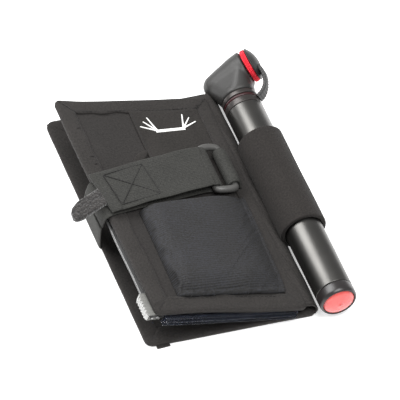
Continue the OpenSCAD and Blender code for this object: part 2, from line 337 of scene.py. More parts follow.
def ribbon(name, centre, side, width, thick, uv0=0.0, arch=0.0):
    """A closed strip of webbing along a path of centres, with side vectors across it."""
    centre = np.asarray(centre, float)
    side = unit(np.asarray(side, float))
    normal = unit(np.cross(unit(np.gradient(centre, axis=0)), side))
    width = np.broadcast_to(np.asarray(width, float), len(centre))
    q = np.sin(np.linspace(-math.pi / 2, math.pi / 2, ACROSS))
    share = 0.25 + 0.75 * np.sqrt(np.clip(1 - np.abs(q) ** 14, 0, 1))
    middle = centre[:, None] + side[:, None] * (q * 0.5)[None, :, None] * width[:, None, None]

    def skin(half):
        rise = np.broadcast_to(half * share + arch, (len(centre), ACROSS))
        return middle + normal[:, None] * rise[..., None]
    uv = np.stack(np.broadcast_arrays((along(centre) + uv0)[:, None], q[None] * width.mean() / 2), -1)
    return shell(name, skin(thick / 2), skin(-thick / 2), uv)


def resample(points, step):
    """A smooth path through given points, at even steps."""
    p = np.asarray(points, float)
    s = along(p)
    m = np.gradient(p, s, axis=0)
    t = np.linspace(0, s[-1], max(4, int(s[-1] / step)))
    k = np.clip(np.searchsorted(s, t, side="right") - 1, 0, len(s) - 2)
    h = (s[k + 1] - s[k])[:, None]
    u = ((t - s[k])[:, None]) / h
    return ((2 * u ** 3 - 3 * u ** 2 + 1) * p[k] + (u ** 3 - 2 * u ** 2 + u) * h * m[k]
            + (-2 * u ** 3 + 3 * u ** 2) * p[k + 1] + (u ** 3 - u ** 2) * h * m[k + 1])


def lathe(name, profile, origin, axis, turns=96, closed=True, wave_fn=None):
    """A solid of revolution: profile is (radius, distance along the axis) pairs."""
    axis = Vector(axis).normalized()
    u = (UP - axis * UP.dot(axis)).normalized()
    v = axis.cross(u)
    a = np.arange(turns) * 2 * math.pi / turns
    prof = np.asarray(profile, float)
    r, h = prof[:, 0][:, None], prof[:, 1][:, None]
    if wave_fn is not None:
        r = r + wave_fn(a[None], h)
    o = np.array(origin, float)
    pts = (o + np.array(axis)[None, None] * (h * np.ones_like(a))[..., None]
           + np.array(u) * (r * np.cos(a))[..., None] + np.array(v) * (r * np.sin(a))[..., None])
    faces = grid_faces(len(prof), turns, close_u=closed, close_v=True, flip=True)
    if not closed:
        faces += [face[::-1] for face in end_caps(len(prof), turns)]
    uv = np.stack(np.broadcast_arrays(a[None] * prof[:, 0].max(), along(prof)[:, None]), -1).reshape(-1, 2)
    return make(name, pts.reshape(-1, 3), faces, uv)


def fillet(corners, r=0.5, n=4):
    """Rounds the corners of an open or closed profile of (radius, height) pairs."""
    out = []
    m = len(corners)
    for i in range(m):
        p, c, q = (Vector(corners[(i + k) % m]) for k in (-1, 0, 1))
        rr = min(r, (p - c).length * 0.45, (q - c).length * 0.45)
        a, b = c + (p - c).normalized() * rr, c + (q - c).normalized() * rr
        for k in range(n + 1):
            t = k / n
            out.append(tuple((1 - t) ** 2 * a + 2 * t * (1 - t) * c + t * t * b))
    return out


# ---------------------------------------------------------------- materials

class Nodes:
    """A small helper that builds one procedural material."""

    def __init__(self, name):
        self.mat = bpy.data.materials.new(name)
        self.mat.use_nodes = True
        self.tree = self.mat.node_tree
        self.shader = self.tree.nodes["Principled BSDF"]

    def node(self, kind, **settings):
        n = self.tree.nodes.new(kind)
        for key, value in settings.items():
            if key in n.inputs:
                n.inputs[key].default_value = value
            else:
                setattr(n, key, value)
        return n

    def link(self, a, b):
        self.tree.links.new(a, b)

    def math(self, op, a, b=None, clamp=False):
        n = self.node("ShaderNodeMath", operation=op, use_clamp=clamp)
        for k, v in enumerate((a, b)):
            if v is None:
                continue
            if isinstance(v, (int, float)):
                n.inputs[k].default_value = v
            else:
                self.link(v, n.inputs[k])
        return n.outputs[0]

    def coords(self, cloth=True):
        """Cloth coordinates or the object's own, in millimetres."""
        if cloth:
            src = self.node("ShaderNodeUVMap", uv_map="Cloth").outputs["UV"]
        else:
            src = self.node("ShaderNodeTexCoord").outputs["Object"]
        n = self.node("ShaderNodeVectorMath", operation="SCALE")
        n.inputs["Scale"].default_value = 1 / MM
        self.link(src, n.inputs[0])
        return n.outputs[0]

    def noise(self, vector, scale, detail=3.0, rough=0.55):
        n = self.node("ShaderNodeTexNoise", Scale=scale, Detail=detail, Roughness=rough)
        self.link(vector, n.inputs["Vector"])
        return n.outputs["Fac"]

    def ramp(self, fac, stops):
        n = self.node("ShaderNodeValToRGB")
        cr = n.color_ramp
        while len(cr.elements) < len(stops):
            cr.elements.new(0.5)
        for e, (pos, col) in zip(cr.elements, stops):
            e.position = pos
            e.color = (*col, 1.0)
        self.link(fac, n.inputs["Fac"])
        return n.outputs["Color"]

    def bump(self, height, strength, distance=0.0003):
        n = self.node("ShaderNodeBump", Strength=strength, Distance=distance)
        self.link(height, n.inputs["Height"])
        return n.outputs["Normal"]

    def finish(self, color, rough, normal=None, **sockets):
        for value, key in ((color, "Base Color"), (rough, "Roughness"), (normal, "Normal")):
            if value is None:
                continue
            if isinstance(value, (tuple, float, int)):
                self.shader.inputs[key].default_value = (*value, 1.0) if isinstance(value, tuple) else value
            else:
                self.link(value, self.shader.inputs[key])
        for key, value in sockets.items():
            self.shader.inputs[key.replace("_", " ")].default_value = value
        return self.mat


def shade(col, k):
    """A colour made darker or lighter."""
    return tuple(min(1.0, c * k) for c in col)


def woven(name, col, pitch, strength, rough=0.85, ribs=None, mottled=0.35, sheen=0.03, diagonal=False,
          tint=None):
    """Cloth: yarns over and under at a pitch in millimetres, or ribs across at their own pitch."""
    m = Nodes(name)
    uv = m.coords()
    split = m.node("ShaderNodeSeparateXYZ")
    m.link(uv, split.inputs[0])
    x, y = split.outputs[0], split.outputs[1]
    if diagonal:
        x, y = (m.math("ADD", x, m.math("MULTIPLY", y, 0.8)),
                m.math("SUBTRACT", y, m.math("MULTIPLY", x, 0.15)))
    k = math.pi / pitch
    wx, wy = m.math("SINE", m.math("MULTIPLY", x, k)), m.math("SINE", m.math("MULTIPLY", y, k))
    yarn = m.math("MULTIPLY", wx, wy)
    if ribs:
        rib_axis, rib_pitch, rib_share = ribs
        rib = m.math("SINE", m.math("MULTIPLY", x if rib_axis == "x" else y, 2 * math.pi / rib_pitch))
        yarn = m.math("ADD", m.math("MULTIPLY", yarn, 1 - rib_share), m.math("MULTIPLY", rib, rib_share))
    big = m.noise(uv, 0.05, 4.0)
    fine = m.noise(uv, 1.6, 2.0)
    fleck = m.math("SUBTRACT", m.noise(uv, 0.85, 2.0, 0.7), 0.5)
    height = m.math("ADD", m.math("MULTIPLY", yarn, 0.5), m.math("MULTIPLY", fine, 0.5))
    tone = m.math("ADD", m.math("MULTIPLY", yarn, 0.16),
                  m.math("ADD", m.math("MULTIPLY", big, mottled * 2), m.math("MULTIPLY", fine, 0.35)))
    tone = m.math("ADD", tone, m.math("MULTIPLY", fleck, 2.1))
    color = m.ramp(m.math("MULTIPLY", tone, 1.0, clamp=True),
                   [(0.0, shade(col, 0.62)), (0.42, col), (0.85, shade(tint or col, 1.4))])
    roughness = m.math("ADD", m.math("MULTIPLY", fine, 0.14), rough - 0.07, clamp=True)
    normal = m.bump(height, strength, 0.00022)
    return m.finish(color, roughness, normal, Sheen_Weight=sheen, Sheen_Roughness=0.45,
                    Sheen_Tint=(0.9, 0.88, 0.86, 1.0), Specular_IOR_Level=0.3)


def looped(name, col, pitch=1.1):
    """Coarse knit of small loops, with painted shade in the gaps between loops and a painted highlight on each
    loop's top.
    """
    m = Nodes(name)
    uv = m.coords()
    v = m.node("ShaderNodeTexVoronoi")
    v.inputs["Scale"].default_value = 1.0 / pitch
    m.link(uv, v.inputs["Vector"])
    fine = m.noise(uv, 2.4, 3.0)
    height = m.math("SUBTRACT", m.math("MULTIPLY", fine, 0.6), v.outputs["Distance"])
    # painted shade and highlight: lighter on each loop's top and much darker in the sunken gaps, following the
    # bump
    color = m.ramp(v.outputs["Distance"], [(0.0, shade(col, 1.7)), (0.35, col), (0.8, shade(col, 0.2))])
    return m.finish(color, 0.9, m.bump(height, 0.9, 0.0006), Sheen_Weight=0.4, Sheen_Roughness=0.5)


def plain(name, col, rough, grain=0.0, grain_scale=3.0, mottle=0.12, **sockets):
    """Moulded plastic, rubber or metal with a fine grain and slight unevenness."""
    m = Nodes(name)
    co = m.coords(cloth=False)
    big = m.noise(co, 0.12, 3.0)
    color = m.ramp(big, [(0.25, shade(col, 1 - mottle)), (0.75, shade(col, 1 + mottle))])
    roughness = m.math("ADD", m.math("MULTIPLY", m.noise(co, 0.4, 3.0), 0.12), rough - 0.06, clamp=True)
    normal = m.bump(m.noise(co, grain_scale, 2.0), grain, 0.00012) if grain else None
    return m.finish(color, roughness, normal, **sockets)


def anodised(name, col, rough):
    """Drawn tube: fine lines along its length and a soft satin finish."""
    m = Nodes(name)
    co = m.coords(cloth=False)
    stretch = m.node("ShaderNodeVectorMath", operation="MULTIPLY")
    stretch.inputs[1].default_value = (4.0, 0.05, 4.0)
    m.link(co, stretch.inputs[0])
    lines = m.noise(stretch.outputs[0], 1.6, 3.0)
    color = m.ramp(m.noise(co, 0.06, 3.0), [(0.3, shade(col, 0.93)), (0.7, shade(col, 1.07))])
    roughness = m.math("ADD", m.math("MULTIPLY", lines, 0.12), rough - 0.06, clamp=True)
    return m.finish(color, roughness, m.bump(lines, 0.12, 0.00008), Metallic=1.0)


def clear_film(name):
    """Clear vinyl, faintly wavy."""
    m = Nodes(name)
    co = m.coords(cloth=False)
    normal = m.bump(m.noise(co, 0.16, 2.0), 0.35, 0.0012)
    rough = m.math("ADD", m.math("MULTIPLY", m.noise(co, 0.3, 3.0), 0.15), 0.06)
    return m.finish((0.14, 0.16, 0.22), rough, normal, Transmission_Weight=0.9, IOR=1.5, Alpha=0.42,
                    Coat_Weight=0.6, Coat_Roughness=0.06)


def milky(name, col, rough, transmission, grain=0.0, depth=0.35):
    m = Nodes(name)
    co = m.coords(cloth=False)
    color = m.ramp(m.noise(co, 0.3, 3.0), [(0.3, shade(col, 0.9)), (0.7, shade(col, 1.08))])
    normal = m.bump(m.noise(co, 1.4, 3.0), 0.2 + grain, 0.0002)
    return m.finish(color, rough, normal, Transmission_Weight=transmission, IOR=1.45,
                    Subsurface_Weight=depth, Subsurface_Scale=0.003, Coat_Weight=0.3)


NYLON = woven("nylon_weave", (0.019, 0.0172, 0.0163), 0.5, 0.6, mottled=0.4)
TAPE = woven("binding_tape", (0.0225, 0.0203, 0.019), 0.42, 0.7, diagonal=True, ribs=("x", 1.1, 0.55))
POCKET = woven("pocket_weave", (0.0175, 0.0156, 0.0142), 0.5, 0.55, mottled=0.4)
NEOPRENE = woven("neoprene_jersey", (0.019, 0.0165, 0.0152), 0.36, 0.5, rough=0.9, mottled=0.25, sheen=0.04)
WEBBING = woven("ribbed_webbing", (0.0275, 0.0275, 0.025), 0.7, 0.9, rough=0.8, ribs=("y", 1.15, 0.6))
STRETCH = woven("stretch_rib", (0.021, 0.0205, 0.0205), 0.5, 0.9, rough=0.75, ribs=("y", 1.3, 0.75),
                tint=(0.02, 0.0205, 0.024))
ELASTIC = woven("elastic", (0.018, 0.0175, 0.0175), 0.5, 0.5, ribs=("y", 0.9, 0.6), mottled=0.25, sheen=0.05)
HOOK = looped("hook_tape", (0.02, 0.019, 0.018), 0.9)
KNIT = looped("coarse_knit", (0.021, 0.018, 0.0165), 1.25)
THREAD = plain("black_thread", (0.009, 0.008, 0.008), 0.7, 0.4, 6.0)
PRINT = plain("white_print", (0.88, 0.88, 0.86), 0.55, 0.3, 2.2, 0.04)
RING = plain("acetal", (0.07, 0.069, 0.066), 0.4, 0.25, 2.4)
HEAD = plain("textured_plastic", (0.022, 0.0213, 0.0203), 0.46, 0.5, 3.2)
RUBBER = plain("black_rubber", (0.017, 0.017, 0.017), 0.45, 0.3, 2.0)
RED = plain("red_anodised", (0.72, 0.022, 0.04), 0.36, 0.1, 4.0, Metallic=0.55)
COLLAR = plain("satin_collar", (0.045, 0.04, 0.038), 0.34, 0.1, 4.0, Metallic=0.5)
ORING = plain("dark_red_rubber", (0.03, 0.004, 0.005), 0.4)
TUBE = anodised("anodised_tube", (0.105, 0.1025, 0.098), 0.34)
BARREL = anodised("polished_tube", (0.7, 0.7, 0.7), 0.2)
CAP = plain("smoky_cap", (0.014, 0.0115, 0.0115), 0.34, 0.05, 2.0, Coat_Weight=0.15, Coat_Roughness=0.3)
LENS = milky("red_lens", (0.95, 0.14, 0.13), 0.18, 0.25)
FILM = clear_film("clear_vinyl")
RAIL = milky("rail_plastic", (0.17, 0.17, 0.17), 0.3, 0.3, depth=0.0)
SLIDER = milky("slider_plastic", (0.2, 0.2, 0.188), 0.32, 0.25, 0.3, depth=0.0)
BRASS = plain("turned_brass", (0.72, 0.52, 0.26), 0.3, 0.1, 4.0, Metallic=1.0)
STEEL = anodised("ground_steel", (0.6, 0.6, 0.6), 0.22)
NYLON_BUSH = plain("dark_moulding", (0.03, 0.03, 0.03), 0.45, 0.2, 3.0)


# ---------------------------------------------------------------- base side of the wrap

def on_base(x, y, z):
    """A point of the base, with its top slightly uneven."""
    x, y, z = (np.asarray(v, float) for v in (x, y, z))
    lift = 0.25 * (1 + np.sin(x / 13.0) * np.sin(y / 19.0)) * np.clip(z, 0, 1)
    return np.stack(np.broadcast_arrays(x, y, z + lift), -1)


def build_base():
    """The padded base and the tape folded round its edge."""
    box = (-HALF_W, HALF_W - 0.4, NEAR_Y, FAR_Y)
    pad = slab("base_pad", on_base, *box, PAD_LOW, PAD_TOP, nu=70, nv=110)
    dress(pad, NYLON, "base")
    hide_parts("base_panel")
    tape = binding("base_tape", on_base, *box, 0.4, PAD_TOP, skin=0.6, under=0.38, seed=3)
    dress(tape, TAPE, "base")
    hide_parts("base_binding")
    xy = rim_path(*box, 4.0)(BINDING - 1.1)
    row = on_base(xy[:, 0], xy[:, 1], 3.14)
    reach = np.linspace(1.2, BINDING - 1.4, 10)
    mitre = on_base(box[0] + reach, NEAR_Y + reach + skewed(box[0] + reach), 3.2)
    cross = on_base(box[0] + 4 + reach * 0.1, NEAR_Y + 0.5 + reach + skewed(box[0] + 4), 3.2)
    stitches("base_tape_stitches", [np.concatenate([row, row[:1]]), mitre, cross], THREAD, "base")
    tag = ribbon("base_corner_tag", [(box[0] + 5.0 + 1.1 * k, NEAR_Y + 2.2, 0.55) for k in range(8)],
                 np.tile(ALONG_Y, (8, 1)), 4.6, 0.9)
    dress(tag, TAPE, "base")


def build_spine():
    """The fold: cloth that runs from the base's right edge up to the panel's right edge."""
    length = FAR_Y - NEAR_Y
    section = resample([(HALF_W - 3.0, 1.2), (HALF_W - 0.2, 2.1), (HALF_W + 0.3, 4.4), (HALF_W - 1.6, 7.2),
                        (HALF_W - 4.6, 8.9), (HINGE.x - 1.0, 9.35), (HINGE.x - 4.5, 9.9)], 0.7)
    rows = np.linspace(0, 1, 90)
    trim = np.interp(np.arange(len(section)) / (len(section) - 1), [0, 0.5, 1], [0.8, 3.0, FAR_TRIM])
    tangent = np.gradient(section, axis=0)
    normal = unit(np.stack([tangent[:, 1], -tangent[:, 0]], -1))
    swell = np.sin(np.linspace(0, math.pi, len(section)))[:, None]
    skins = []
    for off in (CLOTH_HALF, -CLOTH_HALF):
        x = section[:, 0] + normal[:, 0] * off
        z = section[:, 1] + normal[:, 1] * off
        y = NEAR_Y + 0.8 + rows[None] * (length - 0.8 - trim)[:, None] + skewed(x)[:, None]
        crinkle = 0.25 * np.sin(y / 6.0 + x[:, None]) * swell
        skins.append(np.stack(np.broadcast_arrays(x[:, None] + crinkle * 0.4, y, z[:, None] + crinkle), -1))
    uv = np.stack(np.broadcast_arrays(along(section)[:, None], rows[None] * length), -1)
    ob = shell("spine_fold", *skins, uv)
    dress(ob, TAPE)
    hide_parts("spine_panel")
    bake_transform(ob)


PUMP_X, PUMP_Z = 60.0, 14.0
SLEEVE_BORE = 11.35


def build_sleeve():
    """The neoprene tube that holds the pump, and the seam that joins it to the wrap."""
    low, high = span("pump_sleeve")
    r_out, r_in, l = (high.x - low.x) / 2, SLEEVE_BORE, high.y - low.y
    ring = fillet([(r_in, 0), (r_out - 0.1, 0), (r_out - 0.1, l), (r_in, l)], 1.1, 5)
    dense = []
    for i, p in enumerate(ring):
        q = ring[(i + 1) % len(ring)]
        dense.append(p)
        gap = math.hypot(q[0] - p[0], q[1] - p[1])
        if gap > 5:
            dense += [tuple(np.array(p) + (np.array(q) - np.array(p)) * k / 24) for k in range(1, 24)]

    def ease(a, h):
        middle = 0.5 - 0.5 * np.cos(2 * math.pi * np.clip(h / l, 0, 1))
        return (0.12 * np.sin(2 * a + h / 17) + 0.1 * np.sin(3 * a - h / 9)) * middle * 0.8 - 0.1
    ob = lathe("neoprene_sleeve", dense, (PUMP_X, low.y, PUMP_Z), (0, 1, 0), 120, wave_fn=ease)
    dress(ob, NEOPRENE, "base")
    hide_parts("pump_sleeve")
    y = np.linspace(low.y + 1, high.y - 1, 60)
    path = [(HALF_W - 1.6, 2.6), (HALF_W + 1.5, 2.9), (HALF_W + 3.4, 1.6), (PUMP_X - 5.5, 0.75)]
    section = resample(path, 1.0)
    points = [(sx, yy, max(0.05, sz + off + 0.12 * math.sin(yy / 3.1)))
              for off in (CLOTH_HALF, -CLOTH_HALF) for sx, sz in section for yy in y]
    faces = shell_faces(len(section), len(y), flip=True)
    seam = dress(make("sleeve_seam", points, faces, [p[:2] for p in points]), TAPE, "base")
    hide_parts("sleeve_wing")


# ---------------------------------------------------------------- top panel

def build_panel():
    """The padded top panel, its folded tape and the stitches along it."""
    near, far = NEAR_Y, FAR_Y - FAR_TRIM
    box = (-PANEL_W, 0.0, near, far)
    pad = slab("panel_pad", on_panel_outline, *box, PANEL_LOW, 0.0, nu=70, nv=110, shift=HINGE.x)
    dress(pad, NYLON, "panel")
    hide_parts("top_panel")
    tape = binding("panel_tape", on_panel_outline, *box, PANEL_LOW, 0.05, shift=HINGE.x, under=0.25, skin=1.15,
                   r=3.0, seed=7)
    dress(tape, TAPE, "panel")
    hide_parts("top_binding")
    xy = rim_path(*box, 3.0, HINGE.x)(BINDING - 1.2)
    row = on_panel_outline(xy[:, 0], xy[:, 1], 1.22)
    mitres = []
    for cx, cy, ix, iy in ((box[0], near, 1, 1), (box[0], far, 1, -1), (box[1], far, -1, -1)):
        reach = np.linspace(0.9, BINDING - 1.2, 12)
        mx = cx + ix * reach
        mitres.append(on_panel_outline(mx, cy + iy * reach + skewed(mx + HINGE.x), 1.3))
    bar_tacks = []
    for y in (58.0, 36.0, 30.0):
        x = np.linspace(-PANEL_W + BINDING - 4.5, -PANEL_W + BINDING - 0.8, 6)
        bar_tacks.append(on_panel_outline(x, np.full(6, y), 1.45))
    runs = [np.concatenate([row, row[:1]])] + mitres + bar_tacks
    stitches("panel_tape_stitches", runs, THREAD, "panel", radius=0.22)


ICON_X, ICON_Y, ICON_Z, ICON_T = -31.5, 51.5, 1.78, 0.45
ICON_HALF = 8.3
HANDLE_W, TOOL_W, TOOL_TIP_W = 1.95, 1.0, 0.55
TOOL_FAN = ((24, 10.4), (50, 10.0), (74, 11.0))


def pocket_creases(x, y):
    """The side seam of the tool pocket and the fold at its corner."""
    def groove(ax, ay, bx, by, width, depth):
        dx, dy = bx - ax, by - ay
        f = np.clip(((x - ax) * dx + (y - ay) * dy) / (dx * dx + dy * dy), 0, 1)
        d = np.hypot(x - ax - f * dx, y - ay - f * dy)
        return -depth * np.exp(-(d / width) ** 2)
    flat = np.exp(-((x - ICON_X) / 24) ** 4 - ((y - ICON_Y - 3) / 11) ** 4)
    soft = 0.25 * np.sin(x / 9.0 + 1.3) * np.sin(y / 13.0) * (1 - flat)
    return groove(-51, 40, -45, 52, 3.5, 0.45) + groove(-14, 64, -15, 20, 3.0, 0.3) + soft * 1.4


def build_tool_pocket():
    """A flat pocket with a stitched side seam and a tucked corner."""
    x0, x1 = span_x0("tool_pocket"), -BINDING + 0.6
    far = FAR_Y - FAR_TRIM - BINDING + 0.6

    def lift(x, y):
        return pocket_creases(x, y - skewed(x + HINGE.x))
    ob = slab("tool_pocket_cloth", on_panel, x0, x1, 2.5, far, 0.0, 1.5, radius=1.2, nu=110, nv=96,
              shift=HINGE.x, lift=lift)
    dress(ob, POCKET, "panel")
    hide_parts("tool_pocket")
    seam = [(x0 + 0.9, y, 1.45) for y in np.linspace(4, far - 2, 60)]
    row = np.array([on_panel(x, y + skewed(x + HINGE.x), z) for x, y, z in seam])
    stitches("tool_pocket_stitches", [row], THREAD, "panel", pitch=2.3, length=1.7, radius=0.2)
    path = resample([(-52.2, 37.5, 0.5), (-56, 34.5, 0.7), (-60, 31.5, 0.55), (-64, 28.5, 0.3)], 0.8)
    side = cross_side(path[:, 0], path[:, 1])
    width = 4.6 * np.sin(np.linspace(0.25, math.pi - 0.1, len(path))) + 1.0
    tuck = ribbon("pocket_corner_tuck", on_panel(*path.T), side, width, 1.1,
                  arch=0.55 * np.cos(np.linspace(-1.5, 1.5, ACROSS)))
    dress(tuck, POCKET, "panel")


def build_icon():
    """A generic folding tool in white print: a bar with a fan of three tools at each end."""
    points, faces = [], []

    def bar(ax, ay, bx, by, w0, w1):
        d = Vector((bx - ax, by - ay)).normalized()
        nx, ny = -d.y, d.x
        steps = 8
        start = len(points)
        for i in range(steps + 1):
            f = i / steps
            px, py, w = ax + (bx - ax) * f, ay + (by - ay) * f, (w0 + (w1 - w0) * f) / 2
            for sgn in (-1, 1):
                for zz in (ICON_Z - ICON_T, ICON_Z):
                    points.append(on_panel(px + nx * w * sgn, py + ny * w * sgn, zz).tolist())
        for i in range(steps):
            a = start + i * 4
            faces.extend([(a + 1, a + 3, a + 7, a + 5), (a, a + 4, a + 6, a + 2), (a, a + 1, a + 5, a + 4),
                          (a + 2, a + 6, a + 7, a + 3)])
        faces.append((start, start + 2, start + 3, start + 1))
        e = start + steps * 4
        faces.append((e, e + 1, e + 3, e + 2))

    end = ICON_HALF + 0.9
    bar(ICON_X - end, ICON_Y, ICON_X + end, ICON_Y, HANDLE_W, HANDLE_W)
    for side in (-1, 1):
        for fan, reach in TOOL_FAN:
            a = math.radians(fan if side > 0 else 180 - fan)
            cx, cy = ICON_X + side * ICON_HALF, ICON_Y + 0.4
            bar(cx, cy, cx + reach * math.cos(a), cy + reach * math.sin(a), TOOL_W, TOOL_TIP_W)
    ob = make("tool_pictogram", points, faces, smooth=False)
    dress(ob, PRINT, "panel")
    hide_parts("tool_icon")


POCKET_BOX = (-71.0, -11.0, -71.0, -7.0)
POCKET_LEFT, POCKET_RIGHT = POCKET_BOX[0] - 3.5, POCKET_BOX[1] + 3.5
POCKET_RISE = 8.3
RIGHT_FALL = (24.0, 1.5)
NEAR_FALL = (12.0, 1.8)
SIM_SCALE = 0.01
SIM_FRAMES = 30
SIM_CLOTH = {"quality": 6, "mass": 0.2, "tension_stiffness": 18, "compression_stiffness": 18,
             "shear_stiffness": 8, "bending_stiffness": 0.35, "shrink_min": -0.03,
             "vertex_group_mass": "sewn"}


def shoulder(d, w, p=2.2):
    """Rise from 0 at an edge to 1 at distance w from it."""
    q = np.clip(d / w, 0, 1)
    return (1 - (1 - q) ** p) ** (1 / p)


def settled(x, y, z, contents):
    """Lets the stretch cloth settle over what the pocket holds, on the flat, ten times larger than life."""
    scene = bpy.context.scene
    nu, nv = x.shape

    def surface(name, heights):
        me = bpy.data.meshes.new(name)
        points = np.stack([x, y, heights], -1).reshape(-1, 3) * SIM_SCALE
        me.from_pydata(points.tolist(), [], grid_faces(nu, nv))
        ob = bpy.data.objects.new(name, me)
        scene.collection.objects.link(ob)
        return ob
    cloth, block = surface("pocket_settling", z), surface("pocket_contents", contents)
    sewn = [i * nv + j for i in range(nu) for j in range(nv) if i in (0, nu - 1) or j == 0]
    cloth.vertex_groups.new(name="sewn").add(sewn, 1.0, "REPLACE")
    block.modifiers.new("Collision", "COLLISION")
    block.collision.thickness_outer = 0.005
    sim = cloth.modifiers.new("Cloth", "CLOTH")
    for key, value in SIM_CLOTH.items():
        setattr(sim.settings, key, value)
    sim.collision_settings.distance_min = 0.006
    sim.point_cache.frame_start, sim.point_cache.frame_end = 1, SIM_FRAMES
    for frame_number in range(1, SIM_FRAMES + 1):
        scene.frame_set(frame_number)
    shape = cloth.evaluated_get(bpy.context.evaluated_depsgraph_get()).data
    co = np.empty(len(shape.vertices) * 3, np.float32)
    shape.vertices.foreach_get("co", co)
    for ob in (cloth, block):
        bpy.data.objects.remove(ob, do_unlink=True)
    scene.frame_set(1)
    co = co.reshape(nu, nv, 3).astype(float) / SIM_SCALE
    return co[..., 0], co[..., 1], co[..., 2]


def build_stretch_pocket():
    """Stretch cloth drawn over what the pocket holds, sewn down along three sides."""
    _, _, y0, y1 = POCKET_BOX
    share = np.linspace(0, 1, 68)
    sx, ty = np.meshgrid(share, share, indexing="ij")
    x = POCKET_LEFT + (POCKET_RIGHT - POCKET_LEFT) * sx
    mouth = y1 + 3.4 * (sx - 0.35)
    y = (y0 - 2.5 + skewed(x + HINGE.x)) * (1 - ty) + mouth * ty
    left, right = x - POCKET_LEFT, POCKET_RIGHT - x
    near = ty * (y1 - y0)
    height = POCKET_RISE * shoulder(left, 7.0) * shoulder(right, *RIGHT_FALL) * shoulder(near, *NEAR_FALL)
    height *= 0.92 + 0.08 * np.cos((x + 48) / 26.0)
    height *= 1 - 0.22 * np.clip((ty - 0.75) / 0.25, 0, 1) ** 2
    folds = (0.32 * np.sin((x * 0.9 + y * 0.35) / 4.6) * np.exp(-((near - 7) / 7) ** 2)
             + 0.28 * np.sin((y - x * 0.4) / 5.2 + 0.6) * np.exp(-((left - 7.5) / 6) ** 2)
             + 0.2 * np.sin((y + x * 0.5) / 6.1) * np.exp(-((right - 8) / 6) ** 2)
             + 0.14 * np.sin(y / 9.0 + x / 21.0))
    height = height + folds * np.clip(height / 6, 0, 1)
    uv = np.stack([x, y], -1)
    held = 0.9 * height * shoulder(left - 2.5, 8) * shoulder(right - 2.5, 12) * shoulder(near - 2, 12)
    held += 0.05
    x, y, height = settled(x, y, height + 0.25, held)
    top = on_panel(x, y, np.clip(height, 0.0, 8.9) + 0.35)
    under = on_panel(x, y, np.clip(height - 0.9, 0.0, 8.0) + 0.06)
    ob = shell("stretch_pocket_cloth", top, under, uv)
    dress(ob, STRETCH, "panel")
    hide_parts("stretch_pocket")


def build_pocket_hem():
    """Elastic along the mouth of the stretch pocket."""
    x0, x1, _, y1 = POCKET_BOX
    x = np.linspace(x0 + 2, x1 - 3, 60)
    z = 6.5 * shoulder(x - POCKET_LEFT, 7.0) * shoulder(POCKET_RIGHT - x, *RIGHT_FALL) * 0.98 - 0.35
    z *= 0.92 + 0.08 * np.cos((x + 48) / 26.0)
    y = y1 - 2.0 + 3.4 * ((x - x0 + 3.5) / (x1 - x0 + 6.0) - 0.35)
    centre = on_panel(x, y, z)
    side = np.tile([0.0, -1.0, 0.0], (len(x), 1))
    ob = ribbon("pocket_mouth_elastic", centre, side, 4.5, 1.1)
    dress(ob, ELASTIC, "panel")
    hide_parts("pocket_hem")


# ---------------------------------------------------------------- strap and its ring

BAR_X, BAR_Z, FOLD_R, RING_Y = -23.5, 5.6, 2.5, 15.0
RIGHT_BAR_X = BAR_X + 16.5 - 4.4
RING_BAR_R, RING_HALF_L, RING_BEND = 2.15, 18.5, 3
STRAP_Y = CREASE.y


def build_ring():
    """A moulded loop whose end bars arch over the strap's edges."""
    radius = RING_BAR_R
    straight = RING_HALF_L - radius - RING_BEND
    path = []
    for sign, start, end in ((1, BAR_X, RIGHT_BAR_X), (-1, RIGHT_BAR_X, BAR_X)):
        for f in np.linspace(-1, 1, 12):
            path.append((start, RING_Y + sign * straight * f, BAR_Z))
        for f in np.arange(1, 20) / 20:
            bulge = math.sin(math.pi * f)
            path.append((start + (end - start) * (0.5 - 0.5 * math.cos(math.pi * f)),
                         RING_Y + sign * (straight + RING_BEND * bulge ** 0.6), BAR_Z + 0.9 * bulge))
    centre = tilted(HINGE, *np.array(path).T)
    tangent = unit(np.roll(centre, -1, 0) - np.roll(centre, 1, 0))
    sides = 20
    ring = rings_round(centre, tangent, np.array([math.sin(TILT), 0, math.cos(TILT)]), radius, sides)
    faces = grid_faces(len(centre), sides, close_u=True, close_v=True)
    ob = make("strap_loop", ring, faces)
    dress(ob, RING, "panel")
    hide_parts("strap_ring")


def cross_side(x, y):
    """Unit vectors across a strap whose centre line has these panel places."""
    dx, dy = np.gradient(np.asarray(x, float)), np.gradient(np.asarray(y, float))
    n = np.hypot(dx, dy) + 1e-9
    sx, sy = -dy / n, dx / n
    c, s = math.cos(TILT), math.sin(TILT)
    return np.stack([sx * c, sy, -sx * s], -1)


